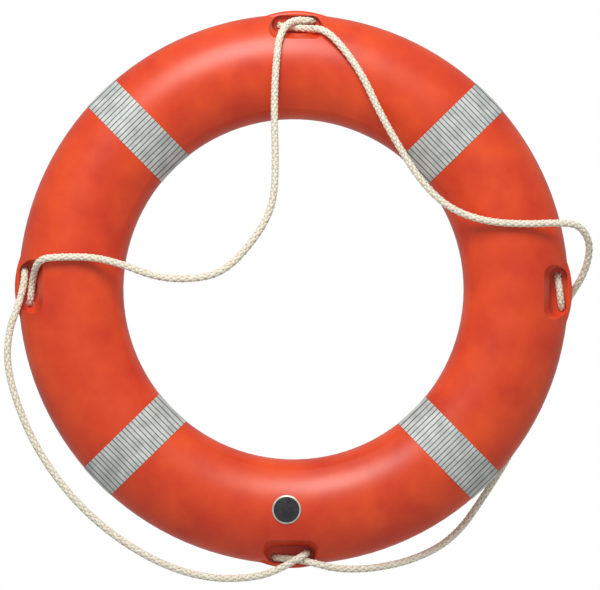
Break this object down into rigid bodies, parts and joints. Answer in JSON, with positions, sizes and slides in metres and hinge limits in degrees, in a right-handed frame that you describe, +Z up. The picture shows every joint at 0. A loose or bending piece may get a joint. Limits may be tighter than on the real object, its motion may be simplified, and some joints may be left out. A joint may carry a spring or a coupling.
{
  "type": "ring lifebuoy",
  "caption": "Orange ring lifebuoy of moulded plastic over foam, with reflective bands and a braided grab line looped round its rim.",
  "frame": {"origin": "the place at the top of the ring's hole, at mid depth, that bears on the peg or hook the ring hangs on", "axes": "+Z up as the ring hangs, +X to the right seen from the front, +Y from the front face to the back along the ring's axis"},
  "size_m": [0.7688, 0.1186, 0.748],
  "materials": {
    "shell": "moulded polyethylene, soft satin gloss, faintly mottled",
    "foam": "rigid closed-cell polyurethane foam",
    "plug": "moulded polyethylene",
    "reflective_tape": "silver retroreflective film with fine lines across it and clear edges",
    "badge": null,
    "badge_metal": "bright rolled rim",
    "rope": "cream braided polypropylene",
    "sleeve": "heat-shrunk white sleeve"
  },
  "bodies": {
    "root": {"shell": "shell", "foam_core": "foam", "fill_plug": "plug", "vent_plug": "plug", "reflective_band_upper_right": "reflective_tape", "reflective_band_upper_left": "reflective_tape", "reflective_band_lower_left": "reflective_tape", "reflective_band_lower_right": "reflective_tape", "badge_disc": "badge", "badge_rim": "badge_metal", "grab_line_upper_left": "rope", "grab_line_lower_left": "rope", "grab_line_lower_right": "rope", "grab_line_upper_right": "rope", "grab_line_turn_top": "rope", "grab_line_turn_left": "rope", "grab_line_turn_bottom": "rope", "grab_line_turn_right": "rope", "rope_joint_sleeve": "sleeve"}
  },
  "joints": []
}
